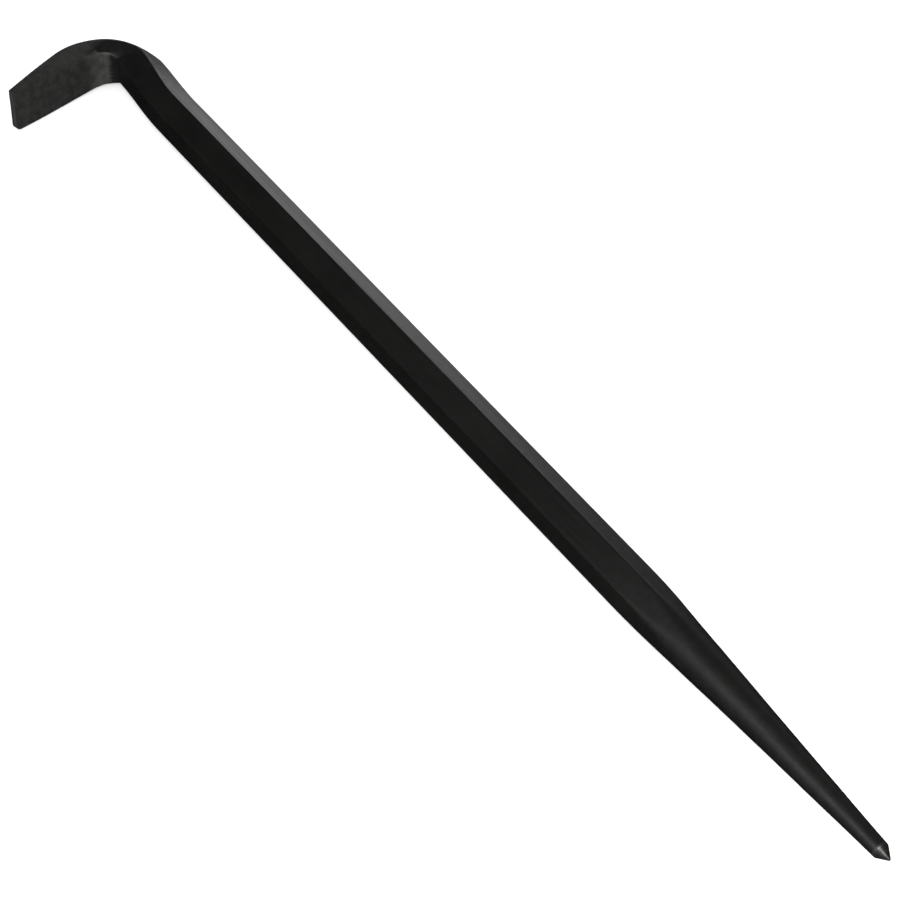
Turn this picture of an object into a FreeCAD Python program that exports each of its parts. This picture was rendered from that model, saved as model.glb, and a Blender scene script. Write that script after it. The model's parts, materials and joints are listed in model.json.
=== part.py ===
import FreeCAD, Part
import math
import os

# One-piece forged pry bar: hexagonal shank, hooked chisel blade at one end, round taper with a
# short ground point at the other. Millimetres.
#
# While it is drawn, the shank's axis is the X axis and the heel, the outermost point of the
# bend, is near X = 0. The point is at the far end of +X, the blade turns towards -Y, and the
# bend's axis is Z. At the end the solid is moved, so that the origin is the middle of the
# underside of its bounding box.

# ---- driving dimensions -------------------------------------------------------------------
OVERALL = 406.4            # heel to point, along the shank
ACROSS_FLATS = 12.7        # hexagonal bar stock, one corner up (+Z), two flats facing +Y and -Y
CORNER_LAND = 0.5          # width of the softened corner of the bar stock

BLADE_INNER_ANGLE = 79.4   # blade's inner face, measured from the shank's +X direction, degrees
BLADE_OUTER_ANGLE = 64.1   # blade's outer face, measured in the same way
BLADE_INNER_LENGTH = 31.1  # straight length of the inner face
BLADE_END_THICKNESS = 2.3  # at the chisel end
INNER_RADIUS = 3.7         # inside of the bend
OUTER_RADIUS = 19.0        # heel
INNER_ARC_X = 12.2         # where the inside of the bend starts, from the heel
LOW_CORNER_RADIUS = 2.2    # rounding of the blade end's two corners, seen on its face
HIGH_CORNER_RADIUS = 0.6

NECK_SET = 2.25            # the neck's outward set (+Y) beside the bend
NECK_END_X = 43.3          # where the set has died away
HEAD_END_X = 55.7          # the drawn head meets the plain shank here

TAPER_START_X = 300.0      # the taper's cone has the radius of the shank's corners here
POINT_LENGTH = 3.9         # ground point
POINT_BASE_RADIUS = 2.45
POINT_TIP_RADIUS = 0.25
TAPER_LEAN = 1.0           # sideways lean of the drawn taper at the point, towards -Y

CLEARANCE = 10.0           # how far a cutting shape reaches past what it cuts

# ---- sections of the head -----------------------------------------------------------------
# Each section is a hexagon. Its place is t: -1 on the plain shank, 0 where the bend starts,
# 1 where the blade starts, 2 at the chisel end. The columns are the half-widths (along Z) of
# the outer face, of the side corner and of the inner face, and the side corner's place through
# the thickness, from 0 at the outer face to 1 at the inner face.
CORNER_RADIUS = ACROSS_FLATS / 2 / math.cos(math.radians(30))
STOCK = (CORNER_RADIUS / 2, CORNER_RADIUS, CORNER_RADIUS / 2, 0.5)
STATIONS = (
    (-1.0, STOCK),
    (-0.6, STOCK),
    (0.0, (2.5, 7.7, 4.75, 0.43)),
    (0.5, (5.9, 7.8, 6.0, 0.40)),
    (0.75, (6.7, 7.4, 6.1, 0.82)),
    (1.0, (7.0, 7.2, 6.3, 0.88)),
    (1.5, (7.4, 7.5, 4.9, 0.95)),
    (2.0, (7.3, 7.55, 4.5, 0.97)),
)
NECK_STEPS = 7
BEND_STEPS = 12
BLADE_STEPS = 5


def smooth_value(column, t):
    """Cubic through one column of STATIONS, with no overshoot between its points."""
    places = [row[0] for row in STATIONS]
    values = [row[1][column] for row in STATIONS]
    slopes = [(values[i + 1] - values[i]) / (places[i + 1] - places[i])
              for i in range(len(values) - 1)]

    def tangent(i):
        if i == 0 or i == len(values) - 1:
            return 0.0
        before, after = slopes[i - 1], slopes[i]
        return 0.0 if before * after <= 0 else 2 * before * after / (before + after)

    k = max(i for i in range(len(places) - 1) if places[i] <= t + 1e-9)
    span = places[k + 1] - places[k]
    u = (t - places[k]) / span
    return ((2 * u**3 - 3 * u**2 + 1) * values[k] + (u**3 - 2 * u**2 + u) * span * tangent(k)
            + (3 * u**2 - 2 * u**3) * values[k + 1] + (u**3 - u**2) * span * tangent(k + 1))


def direction(angle):
    """Unit vector in the bend's plane, turned by angle from +X towards -Y."""
    return FreeCAD.Vector(math.cos(math.radians(angle)), -math.sin(math.radians(angle)), 0)


def outward(angle):
    """Unit vector square to direction(angle), from the inner face to the outer one."""
    return FreeCAD.Vector(-math.sin(math.radians(angle)), -math.cos(math.radians(angle)), 0)


def blade_lines():
    """The bend's two arc centres, and the inner and outer edges of the chisel end."""
    inner_centre = FreeCAD.Vector(INNER_ARC_X, -ACROSS_FLATS / 2 - INNER_RADIUS, 0)
    inner_root = inner_centre + outward(BLADE_INNER_ANGLE) * INNER_RADIUS
    inner_end = inner_root + direction(BLADE_INNER_ANGLE) * BLADE_INNER_LENGTH
    outer_end = inner_end + outward(BLADE_INNER_ANGLE) * BLADE_END_THICKNESS
    # the heel's arc touches the shank's outer flat and the line of the blade's outer face
    along = direction(BLADE_OUTER_ANGLE)
    start = FreeCAD.Vector(0, ACROSS_FLATS / 2 - OUTER_RADIUS, 0)
    start = start + outward(BLADE_OUTER_ANGLE) * OUTER_RADIUS - outer_end
    outer_centre = FreeCAD.Vector(-(start.x * along.y - start.y * along.x) / along.y,
                                  ACROSS_FLATS / 2 - OUTER_RADIUS, 0)
    return inner_centre, outer_centre, inner_end, outer_end


def arc_point(centre, radius, last_angle, share):
    """Point on a bend arc: share 0 at the shank's flat, 1 at the blade's face."""
    turned = math.radians(90 + share * (180 - last_angle))
    return centre + FreeCAD.Vector(math.cos(turned), math.sin(turned), 0) * radius


def neck_set(x, t):
    """The outward set at x, held through the bend's start and gone at the blade's root."""
    def fade(x):
        share = (NECK_END_X - x) / (NECK_END_X - INNER_ARC_X)
        share = min(max(share, 0), 1)
        return NECK_SET * 0.5 * (1 - math.cos(math.pi * share))
    return fade(x) if t <= 0 else NECK_SET * max(0, 1 - t)


def face_points(t):
    """The middle of the inner face and of the outer face at section t."""
    inner_centre, outer_centre, inner_end, outer_end = blade_lines()
    bend = min(max(t, 0), 1)
    inner = arc_point(inner_centre, INNER_RADIUS, BLADE_INNER_ANGLE, bend)
    outer = arc_point(outer_centre, OUTER_RADIUS, BLADE_OUTER_ANGLE, bend)
    if t < 0:
        inner = inner + (FreeCAD.Vector(HEAD_END_X, inner.y, 0) - inner) * -t
        outer = outer + (FreeCAD.Vector(HEAD_END_X, outer.y, 0) - outer) * -t
    if t > 1:
        inner = inner + (inner_end - inner) * (t - 1)
        outer = outer + (outer_end - outer) * (t - 1)
    aside = FreeCAD.Vector(0, neck_set((inner.x + outer.x) / 2, t), 0)
    return inner + aside, outer + aside


def soft_polygon(corners):
    """Closed wire through the corners, each one cut back to a narrow land."""
    points = []
    for i, corner in enumerate(corners):
        for other in (corners[i - 1], corners[(i + 1) % len(corners)]):
            points.append(corner + (other - corner).normalize() * (CORNER_LAND / 2))
    return Part.makePolygon(points + points[:1])


def head_section(t):
    """Wire of the head's section at t."""
    inner, outer = face_points(t)
    outer_half, side_half, inner_half, side_place = [smooth_value(c, t) for c in range(4)]
    side = outer + (inner - outer) * side_place
    up = FreeCAD.Vector(0, 0, 1)
    return soft_polygon([outer + up * outer_half, side + up * side_half,
                         inner + up * inner_half, inner - up * inner_half,
                         side - up * side_half, outer - up * outer_half])


def spread(first, last, steps):
    """Places from first to last, in equal steps."""
    return [first + (last - first) * i / steps for i in range(steps + 1)]


def make_head():
    """Neck, bend and chisel blade, each drawn through its own sections."""
    bend = spread(-1, 0, NECK_STEPS) + spread(0, 1, BEND_STEPS)[1:]
    blade = spread(1, 2, BLADE_STEPS)
    head = Part.makeLoft([head_section(t) for t in bend], True, False)
    head = head.fuse(Part.makeLoft([head_section(t) for t in blade], True, False))
    for side, radius in ((-1, LOW_CORNER_RADIUS), (1, HIGH_CORNER_RADIUS)):
        head = head.cut(corner_waste(side, radius))
    return head


def corner_waste(side, radius):
    """What is ground off one corner of the chisel end: side is -1 for the lower, 1 for the upper."""
    inner_end = blade_lines()[2]
    half = smooth_value(1, 2.0)
    along = direction(BLADE_INNER_ANGLE)
    through = outward(BLADE_INNER_ANGLE)
    up = FreeCAD.Vector(0, 0, side)
    centre = inner_end - along * radius + up * (half - radius) - through * CLEARANCE
    block = Part.makePolygon([centre, centre + along * 2 * radius,
                              centre + (along + up) * 2 * radius,
                              centre + up * 2 * radius, centre])
    block = Part.Face(block).extrude(through * 2 * CLEARANCE)
    return block.cut(Part.makeCylinder(radius, 2 * CLEARANCE, centre, through))


def make_shank():
    """Plain hexagonal shank, turned down to the round taper and the ground point."""
    corners = [FreeCAD.Vector(HEAD_END_X, CORNER_RADIUS * math.sin(math.radians(60 * i)),
                              CORNER_RADIUS * math.cos(math.radians(60 * i))) for i in range(6)]
    stock = Part.Face(soft_polygon(corners)).extrude(FreeCAD.Vector(OVERALL, 0, 0))
    taper_length = OVERALL - POINT_LENGTH - TAPER_START_X
    slope = (CORNER_RADIUS - POINT_BASE_RADIUS) / taper_length
    drawn = TAPER_START_X - HEAD_END_X + CLEARANCE
    axis = FreeCAD.Vector(OVERALL - TAPER_START_X, -TAPER_LEAN, 0).normalize()
    start = FreeCAD.Vector(TAPER_START_X, 0, 0)
    taper = Part.makeCone(CORNER_RADIUS + slope * drawn, POINT_BASE_RADIUS, drawn + taper_length,
                          start - axis * drawn, axis)
    point = Part.makeCone(POINT_BASE_RADIUS, POINT_TIP_RADIUS, POINT_LENGTH,
                          start + axis * taper_length, axis)
    return stock.common(taper.fuse(point))


def make_pry_bar():
    bar = make_head().fuse(make_shank())
    bar = bar.Solids[0] if len(bar.Solids) == 1 else bar
    box = bar.optimalBoundingBox(False)
    bar.translate(FreeCAD.Vector(-box.Center.x, -box.Center.y, -box.ZMin))
    return bar


def main():
    os.makedirs("parts", exist_ok=True)
    bar = make_pry_bar()
    box = bar.optimalBoundingBox(False)
    print("pry_bar: solids", len(bar.Solids), "valid", bar.isValid(), "volume mm3", round(bar.Volume),
          "size", [round(v, 2) for v in (box.XLength, box.YLength, box.ZLength)])
    bar.exportStep("parts/pry_bar.step")


main()
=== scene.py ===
"""Looks of the forged pry bar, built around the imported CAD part.

One continuous skin follows the whole forging: chisel blade, bend, neck, hexagonal shank, round
taper and ground point. Shape sizes below are in millimetres, with the shank's axis as X,
the heel at X = 0, the blade towards -Y and the bend's axis along Z. to_row() moves a point into
the CAD part's own frame, in metres.
"""
import bmesh
import bpy
import json
import math
import numpy as np
from mathutils import Matrix, Vector, noise


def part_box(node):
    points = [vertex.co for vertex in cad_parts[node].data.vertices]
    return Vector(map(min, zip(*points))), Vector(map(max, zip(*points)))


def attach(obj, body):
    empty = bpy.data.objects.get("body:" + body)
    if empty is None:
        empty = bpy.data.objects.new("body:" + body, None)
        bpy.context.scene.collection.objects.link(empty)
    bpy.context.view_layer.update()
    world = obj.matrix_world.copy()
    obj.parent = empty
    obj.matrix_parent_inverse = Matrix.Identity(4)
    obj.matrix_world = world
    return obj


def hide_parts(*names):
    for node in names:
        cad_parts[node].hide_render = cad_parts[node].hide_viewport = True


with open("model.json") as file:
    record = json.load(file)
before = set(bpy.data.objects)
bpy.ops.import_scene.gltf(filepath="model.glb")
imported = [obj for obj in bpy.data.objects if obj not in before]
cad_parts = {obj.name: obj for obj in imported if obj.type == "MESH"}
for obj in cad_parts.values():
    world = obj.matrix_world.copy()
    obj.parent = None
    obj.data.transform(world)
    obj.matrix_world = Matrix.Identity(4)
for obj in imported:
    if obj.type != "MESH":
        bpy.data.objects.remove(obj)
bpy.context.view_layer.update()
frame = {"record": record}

MM = 0.001
record = frame["record"]
low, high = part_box("pry_bar")
mounts = {m["name"]: Vector(m["pos_m"]) for m in record["mounts"]}

# ---- sizes from the CAD part --------------------------------------------------------------
ACROSS_FLATS = (mounts["outer_flat"].y - mounts["inner_flat"].y) / MM
OVERALL = (high.x - low.x) / MM
ORIGIN = np.array([low.x, (mounts["outer_flat"].y + mounts["inner_flat"].y) / 2,
                   mounts["outer_flat"].z])
HALF = ACROSS_FLATS / 2
CORNER = HALF / math.cos(math.radians(30))

# ---- sizes of the forging, as in the CAD part ----------------------------------------------
BLADE_INNER_ANGLE = 79.4
BLADE_OUTER_ANGLE = 64.1
BLADE_INNER_LENGTH = 31.1
BLADE_END_THICKNESS = 2.3
INNER_RADIUS = 3.7
OUTER_RADIUS = 19.0
INNER_ARC_X = 12.2
LOW_CORNER_RADIUS = 2.2
HIGH_CORNER_RADIUS = 0.6
NECK_SET = 2.25
NECK_END_X = 43.3
HEAD_END_X = 55.7
TAPER_START_X = 300.0
POINT_LENGTH = 3.9
POINT_BASE_RADIUS = 2.45
POINT_TIP_RADIUS = 0.25
TAPER_LEAN = 1.0

# ---- softer details that only the skin has --------------------------------------------------
END_ROUNDING = 0.3           # of the chisel end's edges
TAPER_HOLLOW = 0.14          # how much the taper's side sags inside a straight cone, half-way
FLAT_TO_ROUND = 0.35         # width of the soft change from the shank's flats to the round taper
GROUND_DEPTH = 0.03          # the ground point lies this far inside the cone
TIP_INSIDE = 0.02            # the skin's last point, from the bar's end

# The head's sections. Place t: -1 plain shank, 0 bend starts, 1 blade starts, 2 chisel end.
# Columns after it: half-widths of the outer face, the side corner and the inner face, the side
# corner's place through the thickness (0 at the outer face), and the rounding radii of the outer,
# side and inner corners
STOCK = (CORNER / 2, CORNER, CORNER / 2, 0.5, 0.5, 0.5, 0.5)
STATIONS = np.array([
    (-1.0, *STOCK),
    (-0.6, *STOCK),
    (0.0, 2.5, 7.7, 4.75, 0.43, 1.0, 1.2, 1.2),
    (0.5, 5.9, 7.8, 6.0, 0.40, 0.9, 1.4, 1.2),
    (0.75, 6.7, 7.4, 6.1, 0.82, 0.9, 1.4, 1.2),
    (1.0, 7.0, 7.2, 6.3, 0.88, 0.8, 1.2, 1.4),
    (1.5, 7.4, 7.5, 4.9, 0.95, 0.6, 0.7, 2.2),
    (2.0, 7.3, 7.55, 4.5, 0.97, 0.35, 0.35, 2.5),
])

# ---- finish: linear colours and roughness ---------------------------------------------------
OXIDE_DARK = (0.0054, 0.0053, 0.0050)
OXIDE_LIGHT = (0.0080, 0.0078, 0.0073)
# painted light: a paler, lit tone for the bend's hollow and the blade, bounce light painted into
# the colour
PAINTED_LIT_DARK = (0.030, 0.0296, 0.0285)
PAINTED_LIT_LIGHT = (0.048, 0.0474, 0.0455)
STEEL_DARK = (0.055, 0.054, 0.052)
STEEL_LIGHT = (0.11, 0.108, 0.104)
PAINTED_BOUNCE_BEND = 1.0              # share of painted bounce light, a paler tone, in the bend's inside and on the blade
PAINTED_BOUNCE_BLADE = 0.46
CREASE_PAINTED_SHADE = 0.7           # painted shade: how much of the painted bounce light a wrinkle takes away
END_GROUND = 0.25            # how far the chisel's end is ground back to bare metal
GROUND_METALLIC = 0.85
STOCK_ROUGH = (0.35, 0.45)
FORGED_ROUGH = (0.44, 0.56)
GROUND_ROUGH = 0.43

FLOOR_SIZE = 12.0            # metres along each side
FLOOR_GAP = 0.0002           # metres below the bar
FLOOR_DARK = (0.90, 0.90, 0.90)
FLOOR_LIGHT = (0.93, 0.93, 0.93)
FLOOR_GLOW = 0.5             # the floor is a softly lit panel, so shadows on it stay faint
FILL_LIGHT = 0.68

# ---- the view: degrees, lens and sensor in mm, aim point and distance in mm -------------------
SENSOR = 36.0
VIEW_AZIMUTH = 58.76
VIEW_ELEVATION = 41.64
VIEW_ROLL = -1.10
VIEW_LENS = 139.8
VIEW_AIM = (17.81, 5.29, 7.60)
VIEW_DISTANCE = 962.8

# ---- resolution of the skin -----------------------------------------------------------------
CORNER_POINTS = 6
SIDE_POINTS = (8, 8, 41, 8, 8, 41)   # on each side of a section; its inner and outer faces have 41
END_RINGS = 5
END_COLUMNS = 5              # faces between the inner and outer edge of the chisel end
BLADE_RINGS = 64
BLADE_CROWDING = 1.6         # above 1, the blade's rings lie closer together at its end
BEND_RINGS = 72
NECK_RINGS = 56
SHANK_RINGS = 90
TAPER_RINGS = 100
POINT_RINGS = 16
TAPER_RUN_IN = 25.0          # the taper's closer rings start this far before the taper, mm
FORGED_FADE = 40.0           # along this length, mm, the finish turns from rolled to forged
LAST_TAPER_RING = 0.25       # from the ground point's base back to the last ring before it, mm
FIRST_POINT_RING = 0.1       # from the ground point's base to its own first ring, mm
LAST_POINT_RING = 0.2        # from the bar's end back to the last ring, mm
LARGEST_CUT = 0.42           # a corner's rounding takes at most this share of each side
SMALLEST_HALF_WIDTH = 0.05

# ---- unevenness, mm -------------------------------------------------------------------------
MILL_WAVE = 0.012
MILL_SIZES = (40, 9, 9)      # sizes of the waves along X, Y and Z
HAMMER_WAVE = 0.07
HAMMER_SIZES = (8, 6, 6)
DENT_SIZES = (2.6, 2.6, 2.6)
CREASE_DEPTH = 0.12
CREASE_SPACING = 1.4
BEND_HOLLOW = 2.0            # from the inner arc's centre into the hollow, along +X and -Y


def monotone_curve(places, values, t):
    """Cubic through the points with no overshoot between them."""
    steps = np.diff(values) / np.diff(places)
    slopes = np.zeros(len(values))
    for i in range(1, len(values) - 1):
        product = steps[i - 1] * steps[i]
        if product > 0:
            slopes[i] = 2 * product / (steps[i - 1] + steps[i])
    k = int(np.clip(np.searchsorted(places, t, side="right") - 1, 0, len(places) - 2))
    span = places[k + 1] - places[k]
    u = (t - places[k]) / span
    return ((2 * u**3 - 3 * u**2 + 1) * values[k] + (u**3 - 2 * u**2 + u) * span * slopes[k]
            + (3 * u**2 - 2 * u**3) * values[k + 1] + (u**3 - u**2) * span * slopes[k + 1])


def direction(angle):
    """Unit vector in the bend's plane, turned by angle from +X towards -Y."""
    a = math.radians(angle)
    return np.array([math.cos(a), -math.sin(a)])


def outward(angle):
    """Unit vector square to direction(angle), from the inner face to the outer one."""
    a = math.radians(angle)
    return np.array([-math.sin(a), -math.cos(a)])


def blade_lines():
    """Centres of the two bend arcs, and the inner and outer edge of the chisel end."""
    inner_centre = np.array([INNER_ARC_X, -HALF - INNER_RADIUS])
    inner_root = inner_centre + outward(BLADE_INNER_ANGLE) * INNER_RADIUS
    inner_end = inner_root + direction(BLADE_INNER_ANGLE) * BLADE_INNER_LENGTH
    outer_end = inner_end + outward(BLADE_INNER_ANGLE) * BLADE_END_THICKNESS
    # the heel's arc touches the shank's outer flat and the line of the blade's outer face
    along = direction(BLADE_OUTER_ANGLE)
    start = np.array([0, HALF - OUTER_RADIUS]) + outward(BLADE_OUTER_ANGLE) * OUTER_RADIUS
    start = start - outer_end
    across = -(start[0] * along[1] - start[1] * along[0]) / along[1]
    return inner_centre, np.array([across, HALF - OUTER_RADIUS]), inner_end, outer_end


INNER_CENTRE, OUTER_CENTRE, INNER_END, OUTER_END = blade_lines()


def arc_point(centre, radius, last_angle, share):
    """Point on a bend arc: share 0 at the shank's flat, 1 at the blade's face."""
    a = math.radians(90 + share * (180 - last_angle))
    return centre + radius * np.array([math.cos(a), math.sin(a)])


def face_points(t):
    """Middle of the inner and of the outer face at head section t."""
    bend = min(max(t, 0.0), 1.0)
    inner = arc_point(INNER_CENTRE, INNER_RADIUS, BLADE_INNER_ANGLE, bend)
    outer = arc_point(OUTER_CENTRE, OUTER_RADIUS, BLADE_OUTER_ANGLE, bend)
    if t < 0:
        inner = inner + (np.array([HEAD_END_X, inner[1]]) - inner) * -t
        outer = outer + (np.array([HEAD_END_X, outer[1]]) - outer) * -t
    if t > 1:
        inner = inner + (INNER_END - inner) * (t - 1)
        outer = outer + (OUTER_END - outer) * (t - 1)
    middle = (inner[0] + outer[0]) / 2
    share = min(max((NECK_END_X - middle) / (NECK_END_X - INNER_ARC_X), 0.0), 1.0)
    aside = NECK_SET * 0.5 * (1 - math.cos(math.pi * share))
    if t > 0:
        aside = NECK_SET * max(0.0, 1 - t)
    return inner + [0, aside], outer + [0, aside]


def corner_cut(before, here, after, radius):
    """Where the rounding of the corner at here starts and ends, on the sides next to it."""
    into, out = before - here, after - here
    into_length, out_length = np.linalg.norm(into), np.linalg.norm(out)
    into, out = into / into_length, out / out_length
    turn = math.pi - math.acos(np.clip(into @ out, -1, 1))
    cut = min(radius * math.tan(turn / 2), LARGEST_CUT * into_length, LARGEST_CUT * out_length)
    return here + into * cut, here + out * cut


def rounded_ring(corners, radii):
    """Points round a convex polygon: a curve at each corner, then points along the side."""
    count = len(corners)
    cuts = [corner_cut(corners[i - 1], corners[i], corners[(i + 1) % count], radii[i])
            for i in range(count)]
    ring = []
    for i, (first, last) in enumerate(cuts):
        for s in np.linspace(0, 1, CORNER_POINTS):
            ring.append((1 - s)**2 * first + 2 * s * (1 - s) * corners[i] + s**2 * last)
        stop = cuts[(i + 1) % count][0]
        for k in range(1, SIDE_POINTS[i] + 1):
            ring.append(last + (stop - last) * k / (SIDE_POINTS[i] + 1))
    return ring


def head_ring(t, inset=0.0):
    """Section t of the head, with every side pulled in by inset."""
    values = [monotone_curve(STATIONS[:, 0], STATIONS[:, c], t) for c in range(1, 8)]
    outer_half, side_half, inner_half, side_place = values[:4]
    inner, outer = face_points(t)
    through = (outer - inner) / np.linalg.norm(outer - inner)
    inner, outer = inner + through * inset, outer - through * inset
    to_end = (2 - t) * BLADE_INNER_LENGTH if t > 1 else math.inf
    losses = {}
    for sign, radius in ((1, HIGH_CORNER_RADIUS), (-1, LOW_CORNER_RADIUS)):
        lost = radius - math.sqrt(radius**2 - (radius - to_end)**2) if to_end < radius else 0.0
        losses[sign] = inset + lost
    side = outer + (inner - outer) * side_place
    corners = []
    for flat, half, sign in ((outer, outer_half, 1), (side, side_half, 1), (inner, inner_half, 1),
                             (inner, inner_half, -1), (side, side_half, -1),
                             (outer, outer_half, -1)):
        reach = min(half, side_half - losses[sign])
        corners.append(np.array([*flat, sign * max(reach, SMALLEST_HALF_WIDTH)]))
    radii = [values[4], values[5], values[6], values[6], values[5], values[4]]
    return rounded_ring(corners, radii)


def shank_ring(x):
    """Section of the plain shank at x: the outer, side and inner corners as in head_ring."""
    corners = [np.array([x, HALF, CORNER / 2]), np.array([x, 0, CORNER]),
               np.array([x, -HALF, CORNER / 2]), np.array([x, -HALF, -CORNER / 2]),
               np.array([x, 0, -CORNER]), np.array([x, HALF, -CORNER / 2])]
    return np.array(rounded_ring(corners, STOCK[4:] + STOCK[4:]))


def taper_radius(x):
    """Radius of the round taper at x, a cone whose side is slightly hollow."""
    share = (x - TAPER_START_X) / (OVERALL - POINT_LENGTH - TAPER_START_X)
    sag = TAPER_HOLLOW * 4 * share * (1 - share)
    return CORNER + (POINT_BASE_RADIUS - CORNER) * share - max(sag, 0.0)


def drawn_ring(x, radius):
    """The stock's section forged down to a radius, with a soft change from flat to round."""
    ring = shank_ring(x)
    across = np.hypot(ring[:, 1], ring[:, 2])
    gap = np.clip(0.5 + 0.5 * (radius - across) / FLAT_TO_ROUND, 0, 1)
    reached = radius * (1 - gap) + across * gap - FLAT_TO_ROUND * gap * (1 - gap)
    scale = np.minimum(reached, across) / across
    ring[:, 1:] *= scale[:, None]
    ring[:, 1] -= TAPER_LEAN * max(0.0, (x - TAPER_START_X) / (OVERALL - TAPER_START_X))
    return ring


def chisel_end_rings():
    """The last few sections, rolled over the edge of the chisel end."""
    rings = []
    for a in np.linspace(math.pi / 2, 0, END_RINGS + 1)[:-1]:
        place = 2.0 - END_ROUNDING * (1 - math.sin(a)) / BLADE_INNER_LENGTH
        rings.append(head_ring(place, END_ROUNDING * (1 - math.cos(a))))
    return rings


def forging_rings():
    """All rings from the chisel end to the point, and each one's share of forged and of ground
    surface and its place t, which stays -1 beyond the head."""
    rings, kinds = [], []
    for ring in chisel_end_rings():
        rings.append(ring)
        kinds.append((1.0, END_GROUND, 2.0))
    edge_share = END_ROUNDING / BLADE_INNER_LENGTH
    for s in np.linspace(0, 1, BLADE_RINGS) ** BLADE_CROWDING:
        place = 2.0 - edge_share - s * (1 - edge_share)
        rings.append(head_ring(place))
        kinds.append((1.0, 0.0, place))
    for s in np.linspace(0, 1, BEND_RINGS)[1:]:
        rings.append(head_ring(1.0 - s))
        kinds.append((1.0, 0.0, 1.0 - s))
    for s in np.linspace(0, 1, NECK_RINGS)[1:]:
        rings.append(head_ring(-s))
        kinds.append((1.0 - s, 0.0, -s))
    taper_begin = TAPER_START_X - TAPER_RUN_IN
    for x in np.linspace(HEAD_END_X, taper_begin, SHANK_RINGS)[1:]:
        rings.append(shank_ring(x))
        kinds.append((0.0, 0.0, -1.0))
    point_base = OVERALL - POINT_LENGTH
    for x in np.linspace(taper_begin, point_base - LAST_TAPER_RING, TAPER_RINGS)[1:]:
        rings.append(drawn_ring(x, taper_radius(x)))
        kinds.append((min(1.0, (x - taper_begin) / FORGED_FADE), 0.0, -1.0))
    slope = (POINT_BASE_RADIUS - POINT_TIP_RADIUS) / POINT_LENGTH
    for x in np.linspace(point_base + FIRST_POINT_RING, OVERALL - LAST_POINT_RING, POINT_RINGS):
        radius = POINT_BASE_RADIUS - slope * (x - point_base) - GROUND_DEPTH
        rings.append(drawn_ring(x, radius))
        kinds.append((0.0, 1.0, -1.0))
    return np.array(rings), np.array(kinds)


def to_row(points):
    """From the shank's own frame in mm to the CAD part's frame in metres."""
    return np.asarray(points, float) * MM + ORIGIN


def skin_faces(ring_count, around):
    """Quads between the rings and a fan of triangles at the point."""
    faces = []
    for r in range(ring_count - 1):
        for k in range(around):
            n = (k + 1) % around
            faces.append((r * around + k, (r + 1) * around + k, (r + 1) * around + n,
                          r * around + n))
    tip = ring_count * around
    last = (ring_count - 1) * around
    for k in range(around):
        faces.append((last + k, tip, last + (k + 1) % around))
    return faces


def end_grid(points, around, first_new):
    """Fills the chisel end with rows of faces that run from its inner edge to its outer edge."""
    # the two runs of points start side by side in the middle of the upper side corner
    start = CORNER_POINTS + SIDE_POINTS[0] + CORNER_POINTS // 2
    faces, new_points, rows = [], [], []
    for k in range(around // 2):
        a, b = (start - 1 - k) % around, (start + k) % around
        if k in (0, around // 2 - 1):
            rows.append([a] * ((END_COLUMNS + 1) // 2) + [b] * ((END_COLUMNS + 1) // 2))
            continue
        row = [a]
        for s in np.linspace(0, 1, END_COLUMNS + 1)[1:-1]:
            row.append(first_new + len(new_points))
            new_points.append(points[a] * (1 - s) + points[b] * s)
        rows.append(row + [b])
    for one, two in zip(rows[:-1], rows[1:]):
        for k in range(END_COLUMNS):
            face = []
            for v in (one[k], one[k + 1], two[k + 1], two[k]):
                if v not in face:
                    face.append(v)
            if len(face) > 2:
                faces.append(tuple(face))
    return faces, new_points


def face_outwards(mesh):
    """Turns every face of the mesh outwards."""
    work = bmesh.new()
    work.from_mesh(mesh)
    bmesh.ops.recalc_face_normals(work, faces=work.faces)
    work.to_mesh(mesh)
    work.free()


def ramp(value, start, stop):
    """Smooth step from 0 at start to 1 at stop."""
    share = np.clip((value - start) / (stop - start), 0, 1)
    return share * share * (3 - 2 * share)


def window(value, rise, fall):
    """1 from the end of rise to the start of fall, with a smooth step along each."""
    return ramp(value, *rise) * (1 - ramp(value, *fall))


def towards_bend(points, normals):
    """How squarely the surface faces the hollow of the bend: 1 towards it, -1 away from it."""
    hollow = np.array([INNER_CENTRE[0] + BEND_HOLLOW, INNER_CENTRE[1] - BEND_HOLLOW, 0.0])
    inward = hollow - points
    inward[:, 2] = 0
    inward /= np.maximum(np.linalg.norm(inward, axis=1), 1e-6)[:, None]
    return np.sum(inward * normals, axis=1)


def bend_creases(points, places, towards):
    """Short wrinkles low in the bend's inside, where the metal was squeezed together."""
    wave = 0.5 + 0.5 * np.sin(2 * math.pi * points[:, 2] / CREASE_SPACING + 0.5 * points[:, 0])
    along = window(places, rise=(0.10, 0.20), fall=(0.36, 0.50))
    below_axis = window(-points[:, 2], rise=(-1.5, 0.0), fall=(4.0, 5.0))
    return wave**2 * along * below_axis * ramp(towards, 0.5, 0.85)


def bounce_light_share(places, towards, creased):
    """Painted bounce light: a paler tone on the blade and most of all in the bend's hollow, cut
    back by painted shade in the wrinkles.
    """
    bend = window(places, rise=(0.24, 0.46), fall=(0.95, 1.2)) * ramp(towards, 0.4, 0.8)
    inner_side = ramp(towards, -0.1, 0.15)
    blade = inner_side * ramp(places, 0.70, 1.08) + (1 - inner_side) * ramp(places, 0.48, 0.85)
    # painted shade in the wrinkles: they lose part of the painted bounce light
    return np.maximum(PAINTED_BOUNCE_BEND * bend, PAINTED_BOUNCE_BLADE * blade) * (1 - CREASE_PAINTED_SHADE * creased)


def waves(point, sizes, shift=(0, 0, 0)):
    """Smooth noise from -1 to 1; a shift picks another part of the same pattern."""
    return noise.noise(Vector([c / size + s for c, size, s in zip(point, sizes, shift)]))


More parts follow.
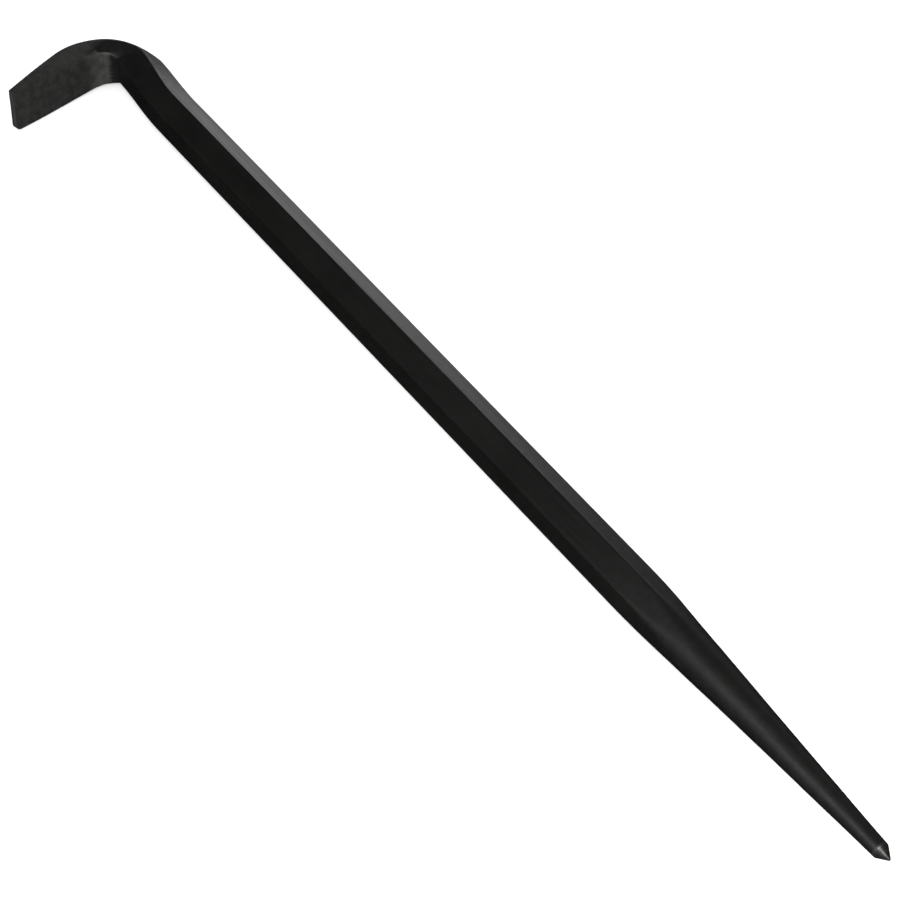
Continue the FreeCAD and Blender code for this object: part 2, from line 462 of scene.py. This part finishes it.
def forge_marks(points, forged, creased):
    """Depth in mm, always inwards, of the unevenness that rolling, forging and bending leave."""
    depth = np.zeros(len(points))
    for i, (point, amount) in enumerate(zip(points, forged)):
        rolled = waves(point, MILL_SIZES)
        hammered = waves(point, HAMMER_SIZES, shift=(7, 0, 0))
        dented = waves(point, DENT_SIZES, shift=(0, 0, 3))
        depth[i] = (MILL_WAVE * (1 + rolled)
                    + HAMMER_WAVE * amount * (1 + 0.8 * hammered + 0.2 * dented))
    return depth + CREASE_DEPTH * creased


def make_bar():
    """The whole skin, with the forged and ground shares and the share of painted bounce light that
    its material reads.
    """
    rings, kinds = forging_rings()
    ring_count, around = rings.shape[0], rings.shape[1]
    tip = np.array([OVERALL - TIP_INSIDE, -TAPER_LEAN, 0.0])
    points = [p for ring in rings for p in ring] + [tip]
    faces = skin_faces(ring_count, around)
    end_faces, extra = end_grid(points, around, len(points))
    points = np.array(points + extra)
    mesh = bpy.data.meshes.new("pry_bar_skin")
    mesh.from_pydata([tuple(p) for p in to_row(points)], [], faces + end_faces)
    face_outwards(mesh)
    bar = bpy.data.objects.new("pry_bar_skin", mesh)
    bpy.context.scene.collection.objects.link(bar)
    tip_kind = np.array([[0.0, 1.0, -1.0]])
    end_kinds = np.tile([1.0, END_GROUND, 2.0], (len(extra), 1))
    forged, ground, places = np.vstack([np.repeat(kinds, around, axis=0), tip_kind, end_kinds]).T
    normals = np.array([n.vector[:] for n in mesh.vertex_normals])
    towards = towards_bend(points, normals)
    creased = bend_creases(points, places, towards)
    # painted bounce light on the blade and in the bend's hollow, less of it in the wrinkles
    painted_bounce = bounce_light_share(places, towards, creased)
    points = points - normals * forge_marks(points, forged * (1 - ground), creased)[:, None]
    mesh.vertices.foreach_set("co", to_row(points).ravel())
    mesh.update()
    for name, values in (("forged", forged), ("ground", ground), ("painted_bounce", painted_bounce)):
        layer = mesh.attributes.new(name, "FLOAT", "POINT")
        layer.data.foreach_set("value", values.astype(np.float32))
    for polygon in mesh.polygons:
        polygon.use_smooth = True
    return bar


bar = make_bar()
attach(bar, "root")
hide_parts("pry_bar")


# ---- materials ------------------------------------------------------------------------------
def node(tree, kind, **settings):
    """A new node of the kind, with its own properties set."""
    made = tree.nodes.new(kind)
    for key, value in settings.items():
        setattr(made, key, value)
    return made


def noise_texture(tree, coordinates, scale, stretch, detail, roughness):
    """Noise over object coordinates; along each axis, scale times stretch is its fineness."""
    mapping = node(tree, "ShaderNodeMapping")
    mapping.inputs["Scale"].default_value = stretch
    tree.links.new(coordinates, mapping.inputs["Vector"])
    texture = node(tree, "ShaderNodeTexNoise")
    texture.inputs["Scale"].default_value = scale
    texture.inputs["Detail"].default_value = detail
    texture.inputs["Roughness"].default_value = roughness
    tree.links.new(mapping.outputs["Vector"], texture.inputs["Vector"])
    return texture.outputs["Fac"]


def ranged(tree, value, source, target):
    """The value stretched from the source range to the target range, and kept inside it."""
    made = node(tree, "ShaderNodeMapRange")
    tree.links.new(value, made.inputs["Value"])
    made.inputs["From Min"].default_value = source[0]
    made.inputs["From Max"].default_value = source[1]
    made.inputs["To Min"].default_value = target[0]
    made.inputs["To Max"].default_value = target[1]
    return made.outputs["Result"]


def blend_colours(tree, share, first, second):
    """Mix of two colours; either can be a fixed colour or another node's output."""
    made = node(tree, "ShaderNodeMix", data_type="RGBA")
    tree.links.new(share, made.inputs["Factor"])
    for colour, socket in ((first, made.inputs[6]), (second, made.inputs[7])):
        if isinstance(colour, tuple):
            socket.default_value = (*colour, 1)
        else:
            tree.links.new(colour, socket)
    return made.outputs[2]


def blend_values(tree, share, first, second):
    """Mix of two values; either can be a fixed float or another node's output."""
    made = node(tree, "ShaderNodeMix", data_type="FLOAT")
    tree.links.new(share, made.inputs["Factor"])
    for value, socket in ((first, made.inputs[2]), (second, made.inputs[3])):
        if isinstance(value, float):
            socket.default_value = value
        else:
            tree.links.new(value, socket)
    return made.outputs[0]


def bump(tree, height, distance, strength, below=None):
    """Bumped normal, distance in metres; below is another bump's output to add to."""
    made = node(tree, "ShaderNodeBump")
    made.inputs["Distance"].default_value = distance
    made.inputs["Strength"].default_value = strength
    tree.links.new(height, made.inputs["Height"])
    if below is not None:
        tree.links.new(below, made.inputs["Normal"])
    return made.outputs["Normal"]


def black_steel():
    """Blackened steel: dark mottled oxide with mill lines and pits, rougher where forged, with
    painted bounce light as a paler tone on the blade and in the bend's hollow, painted shade in its
    wrinkles, and bare ground metal on the point and, in part, on the chisel's end."""
    material = bpy.data.materials.new("black_steel")
    material.use_nodes = True
    tree = material.node_tree
    shader = tree.nodes["Principled BSDF"]
    here = node(tree, "ShaderNodeTexCoord").outputs["Object"]
    forged = node(tree, "ShaderNodeAttribute", attribute_name="forged").outputs["Fac"]
    ground = node(tree, "ShaderNodeAttribute", attribute_name="ground").outputs["Fac"]
    painted_bounce = node(tree, "ShaderNodeAttribute", attribute_name="painted_bounce").outputs["Fac"]

    mottle = noise_texture(tree, here, scale=90, stretch=(0.4, 1, 1), detail=4, roughness=0.6)
    mill = noise_texture(tree, here, scale=900, stretch=(0.02, 1, 1), detail=2, roughness=0.5)
    scale = noise_texture(tree, here, scale=420, stretch=(1, 1, 1), detail=5, roughness=0.65)
    grit = noise_texture(tree, here, scale=5200, stretch=(1, 1, 1), detail=2, roughness=0.5)
    grinding = noise_texture(tree, here, scale=5000, stretch=(1, 0.06, 0.06), detail=2,
                             roughness=0.5)

    oxide = blend_colours(tree, ranged(tree, mottle, (0.35, 0.65), (0, 1)),
                          OXIDE_DARK, OXIDE_LIGHT)
    # the lit tone that stands in for bounce light, mottled by the scale noise
    painted_lit = blend_colours(tree, ranged(tree, scale, (0.4, 0.62), (0, 1)),
                           PAINTED_LIT_DARK, PAINTED_LIT_LIGHT)
    bare = blend_colours(tree, ranged(tree, grinding, (0.35, 0.65), (0, 1)),
                         STEEL_DARK, STEEL_LIGHT)
    # painted light: the oxide lifted to the lit tone where bounce light is painted in
    black = blend_colours(tree, painted_bounce, oxide, painted_lit)
    colour = blend_colours(tree, ground, black, bare)
    tree.links.new(colour, shader.inputs["Base Color"])
    metallic = ranged(tree, ground, (0, 1), (0, GROUND_METALLIC))
    tree.links.new(metallic, shader.inputs["Metallic"])

    smooth = ranged(tree, mill, (0.3, 0.7), STOCK_ROUGH)
    rough = ranged(tree, scale, (0.35, 0.65), FORGED_ROUGH)
    gloss = blend_values(tree, ground, blend_values(tree, forged, smooth, rough), GROUND_ROUGH)
    tree.links.new(gloss, shader.inputs["Roughness"])
    shader.inputs["Specular IOR Level"].default_value = 0.5

    lines = bump(tree, mill, distance=0.00002, strength=0.5)
    pits = bump(tree, ranged(tree, scale, (0.3, 0.7), (0, 1)), distance=0.00005, strength=0.6,
                below=lines)
    fine = bump(tree, grit, distance=0.000008, strength=0.5, below=pits)
    tree.links.new(fine, shader.inputs["Normal"])
    return material


bar.data.materials.append(black_steel())


# ---- floor, light and camera ----------------------------------------------------------------
def make_floor():
    """A wide pale panel just below the bar."""
    side = FLOOR_SIZE / 2
    mesh = bpy.data.meshes.new("floor")
    z = low.z - FLOOR_GAP
    mesh.from_pydata([(-side, -side, z), (side, -side, z), (side, side, z), (-side, side, z)],
                     [], [(0, 1, 2, 3)])
    floor = bpy.data.objects.new("floor", mesh)
    bpy.context.scene.collection.objects.link(floor)
    material = bpy.data.materials.new("pale_floor")
    material.use_nodes = True
    tree = material.node_tree
    shader = tree.nodes["Principled BSDF"]
    here = node(tree, "ShaderNodeTexCoord").outputs["Object"]
    paper = noise_texture(tree, here, scale=60, stretch=(1, 1, 1), detail=3, roughness=0.5)
    tone = blend_colours(tree, paper, FLOOR_DARK, FLOOR_LIGHT)
    tree.links.new(tone, shader.inputs["Base Color"])
    shader.inputs["Roughness"].default_value = 0.9
    tree.links.new(tone, shader.inputs["Emission Color"])
    shader.inputs["Emission Strength"].default_value = FLOOR_GLOW
    mesh.materials.append(material)
    floor.visible_glossy = False


def make_light(name, towards, distance, size, power, aim=(0, 0, 0)):
    """A soft rectangular light; it faces the bar's middle, or a point offset from it by aim."""
    data = bpy.data.lights.new(name, "AREA")
    data.shape = "RECTANGLE"
    data.size, data.size_y = size
    data.energy = power
    lamp = bpy.data.objects.new(name, data)
    away = Vector(towards).normalized()
    lamp.location = (low + high) / 2 + Vector(aim) + away * distance
    lamp.rotation_euler = away.to_track_quat("Z", "Y").to_euler()
    bpy.context.scene.collection.objects.link(lamp)


def make_world(strength):
    """Even light from all round that fills the shadows but isn't mirrored in the metal."""
    world = bpy.data.worlds.new("studio")
    world.use_nodes = True
    world.node_tree.nodes["Background"].inputs["Color"].default_value = (1, 1, 1, 1)
    world.node_tree.nodes["Background"].inputs["Strength"].default_value = strength
    bpy.context.scene.world = world
    world.cycles_visibility.glossy = False


def make_lights():
    """Even fill, a backdrop that the upper outer flat mirrors, and three lamps on the -Y side."""
    make_world(FILL_LIGHT)
    make_light("backdrop", towards=(-0.90, 0.74, 0.16), distance=1.0, size=(0.55, 0.30), power=1.26)
    make_light("front", towards=(0.60, -0.36, 0.74), distance=1.1, size=(0.32, 0.32), power=5.9)
    make_light("streak", towards=(-0.30, -0.70, 0.61), distance=0.45, size=(0.12, 0.2), power=0.50,
               aim=(0.2, 0, 0))
    make_light("side", towards=(0.15, -0.95, 0.27), distance=1.2, size=(0.6, 0.3), power=1.5)


def make_camera():
    """The camera at the VIEW_ values: azimuth from -Y towards +X, then elevation and roll."""
    azimuth, elevation = math.radians(VIEW_AZIMUTH), math.radians(VIEW_ELEVATION)
    roll = math.radians(VIEW_ROLL)
    back = Vector((math.sin(azimuth) * math.cos(elevation),
                   -math.cos(azimuth) * math.cos(elevation), math.sin(elevation)))
    right = Vector((math.cos(azimuth), math.sin(azimuth), 0))
    up = back.cross(right)
    across = right * math.cos(roll) + up * math.sin(roll)
    upward = up * math.cos(roll) - right * math.sin(roll)
    place = Vector(VIEW_AIM) * MM + back * VIEW_DISTANCE * MM
    data = bpy.data.cameras.new("camera")
    data.sensor_width = SENSOR
    data.lens = VIEW_LENS
    data.clip_start = 0.01
    camera = bpy.data.objects.new("camera", data)
    camera.matrix_world = Matrix((
        (across.x, upward.x, back.x, place.x), (across.y, upward.y, back.y, place.y),
        (across.z, upward.z, back.z, place.z), (0, 0, 0, 1)))
    bpy.context.scene.collection.objects.link(camera)
    bpy.context.scene.camera = camera


make_floor()
make_lights()
make_camera()
bpy.context.scene.view_settings.view_transform = "Standard"
